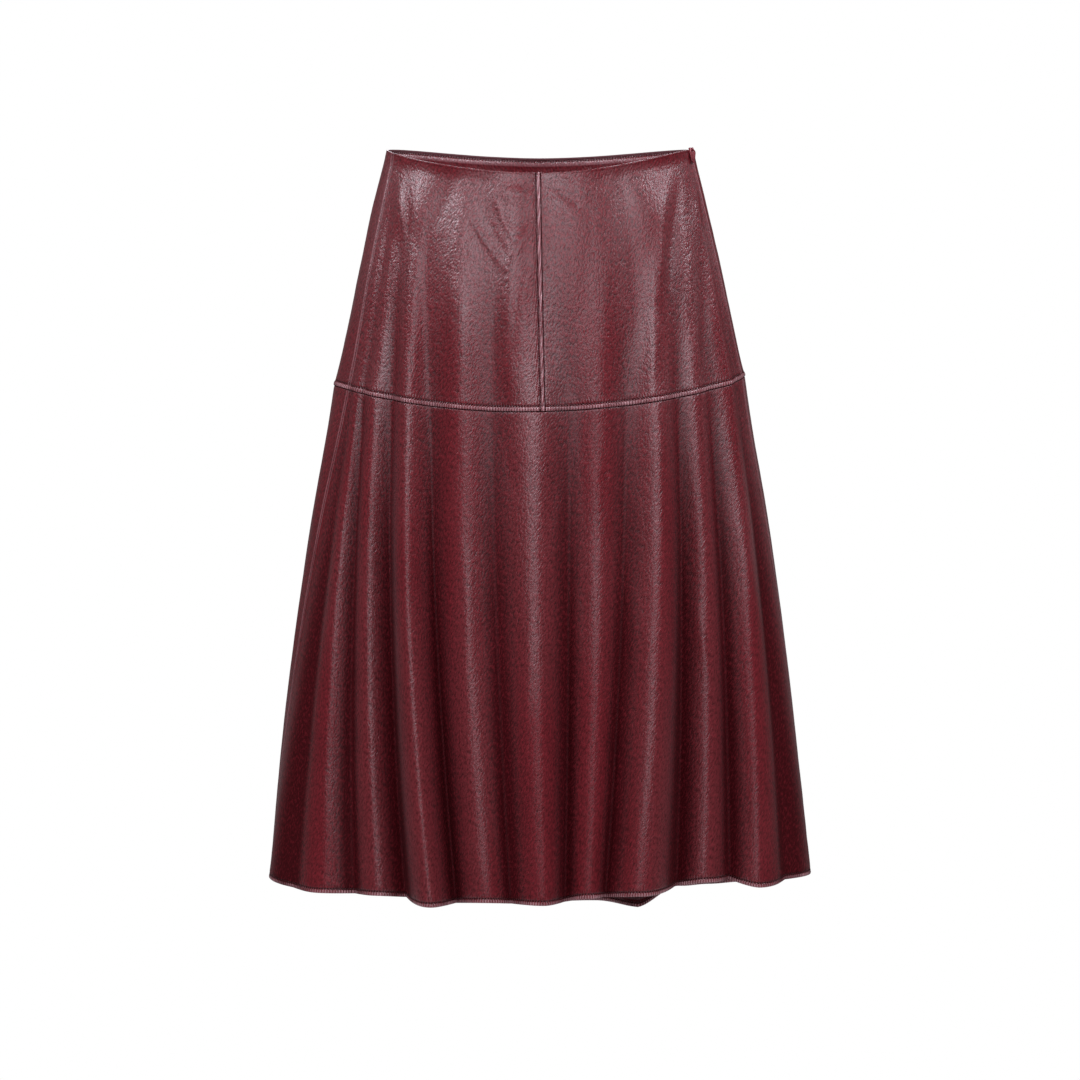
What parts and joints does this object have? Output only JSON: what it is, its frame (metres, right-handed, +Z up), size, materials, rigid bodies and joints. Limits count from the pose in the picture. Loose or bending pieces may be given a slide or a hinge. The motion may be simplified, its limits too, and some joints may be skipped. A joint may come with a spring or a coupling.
{
  "type": "leather skirt",
  "caption": "Burgundy leather A-line midi skirt, hollow as worn, with a smooth fitted yoke, a flared lower part in soft folds and a concealed side zip.",
  "frame": {"origin": "centre of the waist opening, level with the tops of the side seams", "axes": "+Z up, -Y towards the front, +X towards the wearer's left, where the zip is"},
  "size_m": [0.5716, 0.2536, 0.8102],
  "materials": {
    "leather": "fine-grained burgundy nappa with a soft sheen, matte suede inside",
    "facing_leather": "the same leather as a facing",
    "zip_tape": "matte woven polyester tape, dyed to match",
    "zip_metal": "zinc casting painted to match the leather, satin"
  },
  "bodies": {
    "skirt": {"front_yoke_right": "leather", "front_yoke_left": "leather", "back_yoke": "leather", "front_skirt": "leather", "back_skirt": "leather", "back_waist_facing": "facing_leather", "zip_tape": "zip_tape", "zip_slider": "zip_metal"},
    "pull_tab": {"zip_pull_tab": "zip_metal"}
  },
  "joints": [
    {"name": "pull_tab_hinge", "type": "hinge", "parent": "skirt", "child": "pull_tab", "pos_m": [0.15959, -0.01814, -0.00153], "axis": [-0.7969, -0.6041, 0], "range_deg": [0, 150]}
  ]
}
